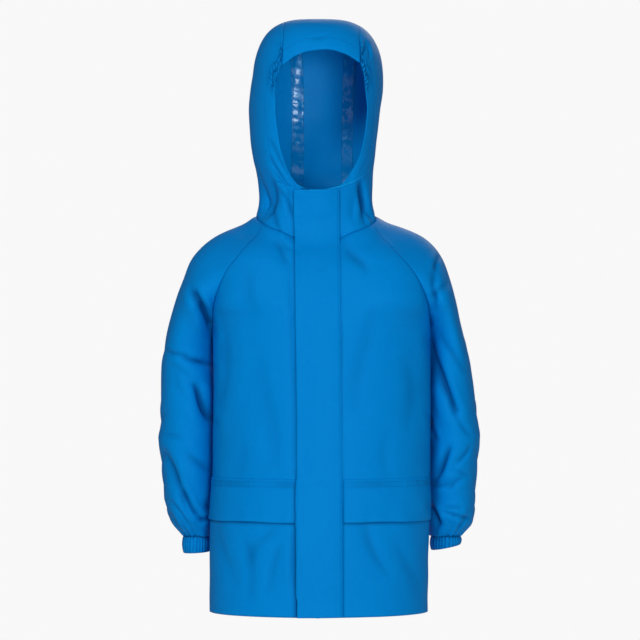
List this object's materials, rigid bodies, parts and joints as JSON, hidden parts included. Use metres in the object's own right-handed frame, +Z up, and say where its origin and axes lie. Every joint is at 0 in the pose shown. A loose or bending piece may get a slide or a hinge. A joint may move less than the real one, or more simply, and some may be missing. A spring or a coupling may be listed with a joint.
{
  "type": "kids raincoat",
  "caption": "Hooded child's raincoat in its worn, hollow form: raglan sleeves with elastic cuffs, storm flap over the zip, flapped pockets and a gathered three-piece hood.",
  "frame": {"origin": "between the shoulders at the height of the neck seam, where the wearer's neck and shoulders hold the coat up", "axes": "+Z up, the front faces -Y, +X is the wearer's left"},
  "size_m": [0.4524, 0.2213, 0.8285],
  "materials": {
    "shell": "satin coated woven cloth",
    "seam_tape": "glossy clear seam tape",
    "zip_tape": "matt woven tape",
    "zip_parts": "moulded plastic"
  },
  "bodies": {
    "root": {"front_left": "shell", "front_right": "shell", "back": "shell", "sleeve_left": "shell", "sleeve_right": "shell", "cuff_left": "shell", "cuff_right": "shell", "hood_side_left": "shell", "hood_side_right": "shell", "hood_centre": "shell", "hood_tape_left": "seam_tape", "hood_tape_right": "seam_tape", "storm_flap": "shell", "pocket_left": "shell", "pocket_right": "shell", "pocket_flap_left": "shell", "pocket_flap_right": "shell", "zip_tape_left": "zip_tape", "zip_tape_right": "zip_tape", "zip_chain": "zip_parts", "zip_slider": "zip_parts"}
  },
  "joints": []
}
